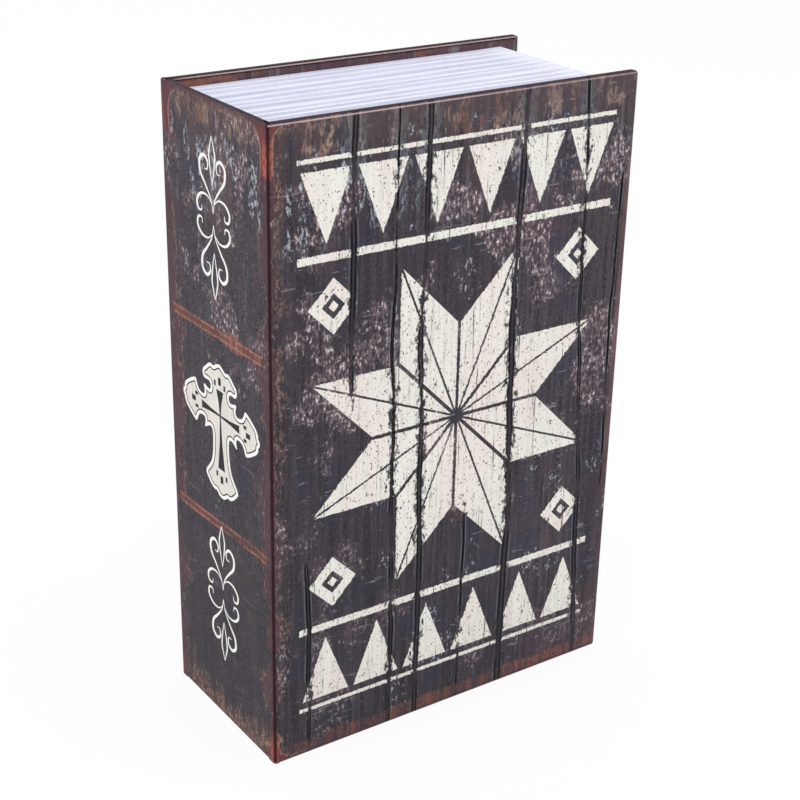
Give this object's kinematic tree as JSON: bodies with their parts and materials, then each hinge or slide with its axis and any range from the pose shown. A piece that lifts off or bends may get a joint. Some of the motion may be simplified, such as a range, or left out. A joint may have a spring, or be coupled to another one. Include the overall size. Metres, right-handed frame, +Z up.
{
  "type": "book diversion safe",
  "caption": "Small safe hidden in a hardback book: the cover opens on a page block that holds a steel tray with a hinged, cam-locked lid.",
  "frame": {"origin": "under the middle of the standing book, on the surface that it stands on", "axes": "+Z up, from the tail to the head of the book; +X from the spine to the fore-edge; +Y from the front cover to the back cover"},
  "size_m": [0.115, 0.055, 0.18],
  "materials": {
    "printed_paper": "satin laminated print: dark weathered planks with red edges",
    "greyboard": "raw board",
    "lining_paper": "matte dark red paper",
    "page_plastic": "matte, moulded with page edges",
    "coated_steel": "fine black powder coat",
    "plated_steel": "bright plated",
    "zinc_steel": "zinc plated"
  },
  "bodies": {
    "case": {"back_board": "greyboard", "spine_board": "greyboard", "back_cover_wrap": "printed_paper", "spine_wrap": "printed_paper", "back_joint": "printed_paper", "front_joint": "printed_paper", "joint_liner": "lining_paper", "back_pastedown": "lining_paper", "page_shell": "page_plastic", "back_plate": "page_plastic", "tray": "coated_steel", "hinge_pin": "zinc_steel", "tray_screw_1": "zinc_steel", "tray_screw_2": "zinc_steel", "tray_screw_3": "zinc_steel", "tray_screw_4": "zinc_steel"},
    "front_cover": {"front_board": "greyboard", "front_cover_wrap": "printed_paper", "front_pastedown": "lining_paper"},
    "lid": {"lid": "coated_steel", "lock_barrel": "plated_steel", "lock_washer": "zinc_steel", "lock_nut": "zinc_steel"},
    "lock_core": {"lock_plug": "plated_steel", "lock_cam": "zinc_steel", "cam_screw": "zinc_steel"}
  },
  "joints": [
    {"name": "cover_hinge", "type": "hinge", "parent": "case", "child": "front_cover", "pos_m": [-0.05735, -0.02735, 0.09], "axis": [0, 0, -1], "range_deg": [0, 180], "deforming": ["front_joint", "joint_liner"]},
    {"name": "lid_hinge", "type": "hinge", "parent": "case", "child": "lid", "pos_m": [-0.045, -0.0198, 0.09], "axis": [0, 0, -1], "range_deg": [0, 99]},
    {"name": "lock_turn", "type": "hinge", "parent": "lid", "child": "lock_core", "pos_m": [0.026, -0.018, 0.09], "axis": [0, 1, 0], "range_deg": [0, 90]}
  ],
  "couplings": [
    {"joint": "lid_hinge", "follows": "cover_hinge", "ratio": 0.55}
  ]
}
